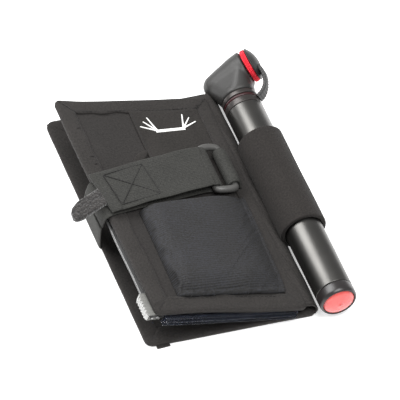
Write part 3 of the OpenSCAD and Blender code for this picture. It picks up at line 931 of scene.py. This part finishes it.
def build_strap_run():
    """Over the left edge, along the panel and up round the ring's left bar."""
    left = BAR_X - 69.8 - 3.4
    level = BAR_Z - FOLD_R - WEB_T / 2
    run = resample([(left + 0.2, 3.0, -6.2), (left + 0.2, 3.2, -2.5), (left + 1.0, 3.6, 0.6),
                    (left + 3.6, 4.1, 2.1), (left + 9, 5.1, level), (-75, 7.4, level + 0.1),
                    (-58, 10.2, level), (-40, 13.3, level), (BAR_X - 6, 15.0, level),
                    (BAR_X, STRAP_Y, level)], 1.3)
    angles = np.linspace(-math.pi / 2, math.pi / 2, 16)[1:]
    mid = FOLD_R + WEB_T / 2
    fold = [(BAR_X + mid * math.cos(a), STRAP_Y, BAR_Z + mid * math.sin(a)) for a in angles]
    fold += [(BAR_X - past, STRAP_Y, BAR_Z + mid) for past in (1.0, 2.0, 2.8)]
    centre = tilted(HINGE, *np.concatenate([run, fold]).T)
    straight_on = np.stack([run[-1, 0] + np.arange(1, len(fold) + 1), np.full(len(fold), STRAP_Y)], -1)
    side = cross_side(*np.concatenate([run[:, :2], straight_on]).T)
    turn = np.clip((run[:, 0] - left) / 8, 0, 1)
    side[:len(run)] = side[:len(run)] * turn[:, None] + np.array([0, 1.0, 0]) * (1 - turn)[:, None]
    width = np.concatenate([np.interp(np.arange(len(run)), [0, len(run) - 1], [STRAP_W - 1.0, STRAP_W]),
                            np.full(len(fold), STRAP_W + 1.2)])
    ob = ribbon("strap_lower_run", centre, side, width, WEB_T - 0.1)
    dress(ob, WEBBING, "panel")
    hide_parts("strap_run")


TAIL_SLANT = math.radians(8.6)
TAIL_L = 68.0


def tail_place(d, w, h):
    """A point of the free tail: d from the crease along it, w across it, h above its middle."""
    d, w, h = np.broadcast_arrays(*(np.asarray(v, float) for v in (d, w, h)))
    f = np.clip(d / TAIL_L, 0, 1.25)
    x = -27.5 - d * math.cos(TAIL_SLANT) + w * math.sin(TAIL_SLANT) * np.clip(d / 6, 0, 1)
    y = STRAP_Y - d * math.sin(TAIL_SLANT) - w * math.cos(TAIL_SLANT)
    base = BAR_Z + FOLD_R + WEB_T / 2
    z = base + 0.9 * np.sin(math.pi * np.clip(f, 0, 1)) * (1 - 0.3 * f) - 4.0 * f ** 1.15 + h
    return tilted(HINGE, x, y, z)


def build_tail():
    """The strap's free end, its folded hem and its hook patch."""
    d = np.concatenate([[-2.9, -1.6], np.linspace(0, TAIL_L, 62)])
    centre = tail_place(d, 0, 0)
    side = tail_place(d, 1, 0) - centre
    centre[:, 2] += 0.22 * np.sin(d / 5.3) * np.clip(d / 10, 0, 1)
    width = np.interp(d, [-3, 10, TAIL_L], [STRAP_W + 1.2, STRAP_W + 1.6, STRAP_W + 1.2])
    width += 0.25 * np.sin(d / 4.1)
    ob = ribbon("strap_free_tail", centre, -side, width, WEB_T, uv0=105.0,
                arch=0.16 * np.cos(np.linspace(-math.pi, math.pi, ACROSS)))
    dress(ob, WEBBING)
    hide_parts("strap_tail")
    start = tilted(HINGE, -27.0, STRAP_Y, 8.85) * MM
    end = tilted(HINGE, -31.5, STRAP_Y, 8.85) * MM
    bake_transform(ob)
    hem_d = np.linspace(TAIL_L - 6.5, TAIL_L + 0.2, 8)
    hem = tail_place(hem_d, 0, 0.35)
    hem_side = hem - tail_place(hem_d, 1, 0.35)
    fold = ribbon("strap_end_hem", hem, hem_side, STRAP_W + 1.4, WEB_T + 0.4, uv0=170.0)
    dress(fold, WEBBING, "tail")
    patch_d = np.linspace(TAIL_L - 27, TAIL_L - 1.5, 24)
    patch = tail_place(patch_d, 0, -1.15)
    patch_side = patch - tail_place(patch_d, 1, -1.15)
    hook = ribbon("hook_patch_tape", patch, patch_side, STRAP_W - 2.4, 0.7)
    dress(hook, HOOK, "tail")
    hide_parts("hook_patch")


def build_box_stitch():
    """A stitched square with a cross in it."""
    d0, d1, w = TAIL_L - 33, TAIL_L - 7.5, STRAP_W / 2 - 2.4
    up = WEB_T / 2 + 0.2

    def line(a, b):
        f = np.linspace(0, 1, 30)
        return tail_place(a[0] + (b[0] - a[0]) * f, a[1] + (b[1] - a[1]) * f, up)
    corners = [(d0, -w), (d1, -w), (d1, w), (d0, w)]
    runs = [line(corners[k], corners[(k + 1) % 4]) for k in range(4)]
    runs += [line(corners[0], corners[2]), line(corners[1], corners[3])]
    ob = stitches("strap_box_stitch", runs, THREAD, "tail", pitch=2.1, length=1.85, radius=0.24)
    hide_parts("box_stitch")


KNIT_L, KNIT_W, KNIT_T = 25, 12.5, 3.2


def build_pull_tab():
    """A rounded tongue of coarse looped knit, drooping over the edge."""
    n = 26
    d = TAIL_L - 4 + np.linspace(0, KNIT_L, n)
    drop = -0.4 - 0.09 * np.clip(d - TAIL_L, 0, None) ** 1.25
    centre = tail_place(d, 2.0 + 0.22 * (d - TAIL_L), drop)
    side = -(tail_place(d + 0.25, 3.0 + 0.22 * (d - TAIL_L), drop) - centre)
    f = (d - d[0]) / (d[-1] - d[0])
    past_straight = np.clip(f - 0.72, 0, 1) / 0.3
    width = KNIT_W * np.where(f < 0.72, 1, np.sqrt(np.clip(1 - past_straight ** 2.4, 0.02, 1)))
    ob = ribbon("knit_pull_tab", centre, side, width, KNIT_T)
    co = np.array([v.co for v in ob.data.vertices])
    for i, v in enumerate(ob.data.vertices):
        p = co[i] / MM
        bump = noise.noise(Vector(p) * 0.9) * 0.32 + noise.noise(Vector(p) * 2.1) * 0.16
        v.co = Vector(co[i]) + v.normal * bump * MM
    dress(ob, KNIT, "tail")
    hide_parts("pull_tab")


def build_ring_tab():
    """Webbing looped over the ring's right bar and sewn down on the panel."""
    mid = 2.3 + 0.95
    angles = np.linspace(math.radians(250), math.radians(92), 14)
    loop = [(RIGHT_BAR_X + mid * math.cos(a), BAR_Z + mid * math.sin(a)) for a in angles]
    tail = [(RIGHT_BAR_X + 1.9, BAR_Z + 2.7), (RIGHT_BAR_X + 3.6, BAR_Z + 0.6), (RIGHT_BAR_X + 4.7, 3.2),
            (RIGHT_BAR_X + 6.0, 1.9)]
    section = resample(loop + tail, 0.8)
    y = np.full(len(section), RING_Y)
    centre = tilted(HINGE, section[:, 0], y, section[:, 1])
    side = np.tile(ALONG_Y, (len(section), 1))
    f = np.linspace(0, 1, len(section))[:, None]
    across = np.linspace(-13, 13, ACROSS)[None]
    crumple = 0.45 * np.sin(across / 2.9 + 3.0 * f) * f ** 2 + 0.2 * np.sin(across / 1.7 - 2.0 * f) * f
    ob = ribbon("ring_tab_webbing", centre, side, 26.0, 1.7, arch=crumple)
    dress(ob, WEBBING, "panel")
    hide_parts("ring_tab")


def build_strap_wrap():
    """The strap's lower end, from under the base's left edge up beside the wrap."""
    low, high = span("strap_wrap")
    x_out = low.x + WEB_T / 2
    path = resample([(-HALF_W + 3.0, 0.93), (-HALF_W - 0.3, 0.96), (-HALF_W - 1.3, 1.75),
                     (-HALF_W - 1.9, 4.0), (-HALF_W - 2.4, 9.0), (-HALF_W - 2.8, 14),
                     (x_out + 0.1, 18.5), (x_out, high.z + 0.7)], 1.2)
    y = np.interp(np.arange(len(path)), [0, len(path) - 1], [5.2, 3.0])
    centre = np.stack([path[:, 0], y, path[:, 1]], -1)
    side = np.tile(ALONG_Y, (len(path), 1))
    ob = ribbon("strap_lower_end", centre, side, STRAP_W - 1.0, WEB_T - 0.1)
    dress(ob, WEBBING, "base")
    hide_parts("strap_wrap")


# ---------------------------------------------------------------- pouch page

FILM_LEFT = -86.0


def build_pouch():
    """Two clear films, their folded near edge and the tape at the spine."""
    near, far = NEAR_Y - 1.6, FAR_Y - FAR_TRIM - 1
    for name, node, z, amp in (("pouch_front_vinyl", "pouch_front_film", -0.25, 0.2),
                               ("pouch_back_vinyl", "pouch_back_film", -2.95, 0.35)):
        ob = slab(name, on_page, FILM_LEFT, -5.0, near, far, z - 0.22, z + 0.22, radius=0.3, nu=50, nv=70,
                  shift=HINGE.x)
        for v in ob.data.vertices:
            v.co.z += amp * MM * noise.noise(Vector(v.co) / MM * 0.05)
        dress(ob, FILM, "page")
        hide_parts(node)
    for k, (lower, reach) in enumerate(((-1.5, 0.9), (-2.3, 0.2), (-3.2, 1.2))):
        edge = slab("pouch_near_fold_%d" % k, on_page, FILM_LEFT - k, -6.0, near - reach, near + 3.0,
                    lower - 0.15, lower + 0.3, radius=0.3, nu=60, nv=16, shift=HINGE.x)
        for v in edge.data.vertices:
            v.co.z += 0.5 * MM * noise.noise(Vector((v.co.x / MM * 0.09, k * 7.0, 0.0)))
        dress(edge, FILM, "page")
    tape = slab("pouch_spine_tape", on_page, -9.0, -0.8, NEAR_Y + 2, far - 4, -1.7, -0.7, radius=0.4, nu=16,
                nv=60, shift=HINGE.x)
    dress(tape, TAPE, "page")
    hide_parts("pouch_tape")


RAIL_X = (-93.1, -89.9)


def rail_bend(y):
    """The rail lies a little further in towards the far end."""
    t = np.clip((np.asarray(y, float) + 15) / 70, 0, 1)
    return 2.8 * t * t * (3 - 2 * t)


def build_rail():
    """Two thin beads and the web they are welded to."""
    low, high = span("zip_rail")
    y = np.linspace(low.y, high.y, 70)
    points, faces = [], []
    for x in RAIL_X:
        wavy = 0.2 * np.sin(y / 9.0 + x)
        path = on_page(x + rail_bend(y) + wavy * 0.4, y, -2.0 + wavy)
        gather(points, faces, tube_around(path, 0.75, 10))
    web_x = np.linspace(RAIL_X[0], RAIL_X[0] + 7.6, 9)
    for z in (-1.75, -2.15):
        start = len(points)
        for x in web_x:
            points.extend(on_page(x + rail_bend(y), y, z).tolist())
        faces.extend(grid_faces(len(web_x), len(y), start, flip=z < -2))
    ob = dress(make("zip_rail_beads", points, faces), RAIL, "page")
    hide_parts("zip_rail")


def build_slider():
    """A rounded ribbed clip that straddles the rail."""
    low_x, width, length = -96.0, 9.6, 16.0
    near = NEAR_Y + 6
    points, faces = [], []
    outline = fillet([(0, -5.2), (width, -5.2), (width, -3.5), (1.5, -3.5), (1.5, -0.6), (width, -0.6),
                      (width, 0.35), (0, 0.35)], 0.8, 4)
    rows = 65
    m = len(outline)
    for k in range(rows):
        f = k / (rows - 1)
        end = min(f, 1 - f) * length
        pull = 1 - 0.16 * (1 - min(1.0, end / 1.6)) ** 2
        ribbed = 2.0 < f * length < 14.0
        rib = 0.55 * max(0.0, math.sin(2 * math.pi * (f * length - 2.0) / 2.2)) if ribbed else 0.0
        for ox, oz in outline:
            outer = 1.0 if ox < 0.8 or oz > 0.0 or oz < -4.9 else 0.0
            cx, cz = width / 2, -2.4
            x, z = cx + (ox - cx) * pull, cz + (oz - cz) * pull
            if ox < 0.9:
                x -= rib * outer - 0.25
            if oz > 0.1:
                z += rib * 0.35 - 0.2
            points.append(on_page(low_x + x, near + f * length, z).tolist())
    faces = grid_faces(rows, m, close_v=True, flip=True)
    faces += [face[::-1] for face in end_caps(rows, m)]
    ob = make("zip_slider_clip", points, faces)
    dress(ob, SLIDER, "slider")
    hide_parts("zip_slider")


# ---------------------------------------------------------------- pump

HEAD_C = Vector(joints["ring_turn"]["pos_m"]) / MM
VALVE = Vector(joints["ring_turn"]["axis"]).normalized()
LATERAL = VALVE.cross(Vector((0, 1, 0))).normalized()
TUBE_LOW, TUBE_HIGH = span("handle_tube")
JOINT_Y = span("inner_barrel")[1].y
TUBE_R, TUBE_WALL = 11.0, 1.3


def pump_lathe(name, profile, y, **kw):
    """A solid of revolution about the pump's axis, from y onwards."""
    return lathe(name, profile, (PUMP_X, y, PUMP_Z), (0, 1, 0), **kw)


def head_point(b, a, c=0.0):
    return HEAD_C + VALVE * b + Vector((0, 1, 0)) * a + LATERAL * c


def build_head():
    """Cross tube and neck in one moulding, blended by a remesh and smoothing."""
    def ring_points(origin, axis, r, turns=40):
        axis = Vector(axis).normalized()
        u = axis.cross(Vector((0.3, 0.2, 0.9))).normalized()
        v = axis.cross(u)
        angles = [k * 2 * math.pi / turns for k in range(turns)]
        return [Vector(origin) + (u * math.cos(a) + v * math.sin(a)) * r for a in angles]

    def hull(points):
        bm = bmesh.new()
        for p in points:
            bm.verts.new(p * MM)
        result = bmesh.ops.convex_hull(bm, input=bm.verts)
        loose = [v for v in result["geom_interior"] if isinstance(v, bmesh.types.BMVert)]
        bmesh.ops.delete(bm, geom=loose, context="VERTS")
        me = bpy.data.meshes.new("head_part")
        bm.to_mesh(me)
        bm.free()
        ob = bpy.data.objects.new("head_part", me)
        bpy.context.scene.collection.objects.link(ob)
        return ob
    along = Vector((0, 1, 0))
    front = ring_points(HEAD_C + VALVE * 12.4, VALVE, 10.9) + ring_points(HEAD_C + VALVE * 6.0, VALVE, 10.2)
    back = []
    for k in range(7):
        a = math.pi * k / 6
        centre = head_point(-8.6, -1.0) - VALVE * 7.8 * math.cos(a)
        back += ring_points(centre, VALVE, max(0.2, 7.8 * math.sin(a)), 24)
    neck_y = JOINT_Y + 0.45 - HEAD_C.y
    neck = ring_points(HEAD_C + along * neck_y, along, 10.55)
    neck += ring_points(HEAD_C + along * (neck_y + 3.5), along, 10.6)
    core = ring_points(HEAD_C + VALVE * 11.4, VALVE, 9.9) + ring_points(head_point(-9.0, -1.0), VALVE, 7.0)
    core += ring_points(head_point(-9.0, -1.0), along, 6.6)
    core += ring_points(HEAD_C + along * neck_y, along, 10.5)
    parts = [hull(front + back), hull(neck), hull(core)]
    with bpy.context.temp_override(active_object=parts[0], object=parts[0], selected_objects=parts,
                                   selected_editable_objects=parts):
        bpy.ops.object.join()
    ob = parts[0]
    ob.name = ob.data.name = "pump_head_moulding"
    remesh = ob.modifiers.new("Remesh", "REMESH")
    remesh.mode = "VOXEL"
    remesh.voxel_size = 0.45 * MM
    smooth = ob.modifiers.new("Smooth", "SMOOTH")
    smooth.factor, smooth.iterations = 0.5, 46
    dg = bpy.context.evaluated_depsgraph_get()
    me = bpy.data.meshes.new_from_object(ob.evaluated_get(dg))
    ob.modifiers.clear()
    ob.data = me
    co = np.array([v.co for v in me.vertices]) / MM
    b = (co - np.array(HEAD_C)) @ np.array(VALVE)
    over = np.clip(b - 12.5, 0, None)
    co -= over[:, None] * np.array(VALVE)
    low = np.clip((JOINT_Y + 0.5) - co[:, 1], 0, None)
    co[:, 1] += low
    me.vertices.foreach_set("co", (co * MM).astype(np.float32).ravel())
    me.update()
    me.polygons.foreach_set("use_smooth", [True] * len(me.polygons))
    dress(ob, HEAD, "pump")
    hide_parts("pump_head")


FACE_B, KNURLS, RING_R, RING_BORE, TETHER_T = 12.9, 54, 10.0, 5.7, 2.3


def build_valve_end():
    """The knurled clamp ring, the dust cap, its tether and the small nub beside it."""

    def knurl(a, h):
        band = np.clip((h - 0.35) / 0.25, 0, 1) * np.clip((2.9 - h) / 0.25, 0, 1) * (h > 0)
        return band * 0.32 * np.sin(KNURLS * a) * np.where(h % 1.0 > 0.5, 1, -1)
    rows = [(RING_BORE, 0.0), (RING_R - 0.4, 0.0), (RING_R, 0.25)]
    rows += [(RING_R, 0.3 + 0.2 * k) for k in range(1, 13)]
    rows += [(RING_R, 2.95), (RING_R - 0.4, 3.2), (RING_BORE, 3.2)]
    ring = lathe("red_clamp_ring", rows, HEAD_C + VALVE * FACE_B, VALVE, 324, wave_fn=knurl)
    dress(ring, RED, "lock_ring")
    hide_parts("clamp_ring")
    dome = [(0.3, 4.15), (2.5, 4.0), (4.5, 3.6), (6.4, 2.95), (8.2, 2.0), (9.6, 1.0), (10.4, 0.5),
            (10.5, 0.2), (10.2, 0.0), (9.0, 0.02), (6.0, 0.02), (0.3, 0.02)]
    cap = lathe("rubber_dust_cap", dome, HEAD_C + VALVE * (FACE_B + 3.5), VALVE, 96, closed=False)
    dress(cap, RUBBER, "cap")
    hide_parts("dust_cap")
    path = resample([(10.9, -23.6), (13.8, -22.4), (17.2, -19.0), (19.3, -14.2), (19.9, -10.2),
                     (19.7, -7.0), (19.2, -4.4)], 0.35)
    centre = np.array([head_point(b, a) for b, a in path])
    side = np.tile(np.array(LATERAL), (len(path), 1))
    s = np.linspace(0, 1, len(path))
    width = 5.6 + 1.2 * np.cos(2 * math.pi * s)
    tether = ribbon("cap_tether_strap", centre, side, width, TETHER_T)
    co = np.array([v.co for v in tether.data.vertices])
    rows = len(path)
    for i, v in enumerate(tether.data.vertices):
        row = (i % (rows * ACROSS)) // ACROSS
        v.co = Vector(co[i]) + v.normal * (0.16 * MM * math.sin(row * 1.35))
    dress(tether, RUBBER)
    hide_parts("cap_tether")
    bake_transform(tether)
    nub = lathe("head_release_nub", [(0.3, 1.1), (1.1, 0.9), (1.4, 0.3), (1.4, -1.5), (0.3, -1.5)],
                head_point(10.2, -9.3, 1.2), (VALVE * 0.8 - Vector((0, 0.6, 0))), 24, closed=False)
    dress(nub, COLLAR, "pump")


def build_barrel():
    """Handle tube, collar, seal ring, end cap and lens."""
    body = TUBE_HIGH.y - TUBE_LOW.y
    wall = TUBE_R - TUBE_WALL
    profile = fillet([(wall, 0), (TUBE_R, 0), (TUBE_R, body), (wall, body)], 0.3, 3)
    tube = pump_lathe("satin_handle_tube", profile, TUBE_LOW.y, turns=128)
    dress(tube, TUBE, "handle")
    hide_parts("handle_tube")
    collar = [(8.6, 0), (TUBE_R, 0), (TUBE_R, 4.1), (9.5, 4.2), (9.5, 6.4), (TUBE_R - 0.1, 6.5),
              (TUBE_R - 0.1, 9.2), (8.6, 9.3)]
    ob = pump_lathe("neck_collar_ring", fillet(collar, 0.35, 3), JOINT_Y - 9.4, turns=128)
    dress(ob, COLLAR, "pump")
    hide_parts("neck_collar")
    a = np.arange(16) * 2 * math.pi / 16
    round_section = [(10.0 + 0.92 * math.cos(k), 0.98 * math.sin(k)) for k in a]
    oring = pump_lathe("neck_seal_ring", round_section, JOINT_Y - 4.1, turns=128)
    dress(oring, ORING, "pump")
    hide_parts("neck_o_ring")
    y = span("end_cap")[0].y
    rim = [(0.4, 1.4), (9.0, 1.4), (9.35, 0.6), (9.7, 0.1), (10.0, 0.0), (10.5, 0.6), (10.9, 1.5),
           (11.0, 2.2), (11.0, 6.6), (10.85, 7.2), (10.6, 7.5), (10.5, 7.55), (9.6, 7.6), (0.4, 7.6)]
    cap = pump_lathe("handle_end_cap", rim, y, turns=128, closed=False)
    dress(cap, CAP, "handle")
    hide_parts("end_cap")
    lens = [(0.3, -2.0), (2.5, -1.88), (4.5, -1.55), (6.5, -1.0), (8.0, -0.35), (8.9, 0.25), (9.15, 0.7),
            (9.15, 1.5), (0.3, 1.5)]
    ob = pump_lathe("handle_end_lens", lens, y, turns=96, closed=False)
    dress(ob, LENS, "handle")
    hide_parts("end_lens")


def dress_nodes():
    """CAD pieces whose shape is already right get their finished materials."""
    for node, material in (("head_seal", RUBBER), ("check_valve", BRASS), ("inner_barrel", BARREL),
                           ("barrel_bush", NYLON_BUSH), ("piston_rod", STEEL), ("piston", NYLON_BUSH),
                           ("piston_seal", RUBBER)):
        ob = frame["nodes"][node]
        ob.data.materials.clear()
        ob.data.materials.append(material)


# ---------------------------------------------------------------- stage

LIGHT_SIZE, LIGHT_POWER = 0.7, 12.0
LIT_SPOT = Vector((0.01, 0, 0.01))
FLOOR_REACH, FLOOR_DROP = 3.0, 0.0002
SKY = 0.5
CAMERA_ANGLES = {"azimuth": -26.61, "elevation": 49.84, "roll": 7.64}
CAMERA_DISTANCE = 2.5
CAMERA_TARGET = Vector((12.65, 2.41, 10.0)) * MM
SENSOR, IMAGE_WIDTH, FOCAL_PIXELS = 36, 400, 4368


def build_stage():
    """Pale floor, even sky and two soft lights."""
    me = bpy.data.meshes.new("studio_floor")
    r = FLOOR_REACH
    me.from_pydata([(-r, -r, 0), (r, -r, 0), (r, r, 0), (-r, r, 0)], [], [(0, 1, 2, 3)])
    floor = bpy.data.objects.new("studio_floor", me)
    bpy.context.scene.collection.objects.link(floor)
    floor.location.z = -FLOOR_DROP
    m = Nodes("pale_floor")
    m.finish((0.9, 0.9, 0.9), 0.9, Emission_Color=(1, 1, 1, 1), Emission_Strength=0.45)
    floor.data.materials.append(m.mat)
    world = bpy.data.worlds.new("studio")
    bpy.context.scene.world = world
    world.use_nodes = True
    world.node_tree.nodes["Background"].inputs[0].default_value = (1, 1, 1, 1)
    world.node_tree.nodes["Background"].inputs[1].default_value = SKY

    def area(name, loc):
        light = bpy.data.lights.new(name, "AREA")
        light.shape = "RECTANGLE"
        light.size = light.size_y = LIGHT_SIZE
        light.energy = LIGHT_POWER
        ob = bpy.data.objects.new(name, light)
        bpy.context.scene.collection.objects.link(ob)
        ob.location = loc
        ob.rotation_euler = (LIT_SPOT - Vector(loc)).to_track_quat("-Z", "Y").to_euler()
    area("key", (-0.45, 0.55, 0.75))
    area("top", (0.1, -0.35, 1.1))


def build_camera():
    """A long lens from the near left, high up and rolled a little."""
    az, el, roll = (math.radians(CAMERA_ANGLES[key]) for key in ("azimuth", "elevation", "roll"))
    back = Vector((math.sin(az) * math.cos(el), -math.cos(az) * math.cos(el), math.sin(el)))
    cam = bpy.data.cameras.new("camera")
    cam.lens = FOCAL_PIXELS * SENSOR / IMAGE_WIDTH
    cam.sensor_width = SENSOR
    cam.clip_end = 20
    ob = bpy.data.objects.new("camera", cam)
    bpy.context.scene.collection.objects.link(ob)
    ob.location = CAMERA_TARGET + back * CAMERA_DISTANCE
    quat = (-back).to_track_quat("-Z", "Y")
    ob.rotation_mode = "QUATERNION"
    ob.rotation_quaternion = quat @ Matrix.Rotation(roll, 4, "Z").to_quaternion()
    bpy.context.scene.camera = ob


for build in (build_camera, build_stage, build_base, build_spine, build_sleeve, build_panel,
              build_tool_pocket, build_icon, build_stretch_pocket, build_pocket_hem, build_ring,
              build_strap_run, build_tail, build_box_stitch, build_pull_tab, build_ring_tab,
              build_strap_wrap, build_pouch, build_rail, build_slider, build_head, build_valve_end,
              build_barrel, dress_nodes):
    build()
bpy.context.scene.view_settings.view_transform = "Standard"
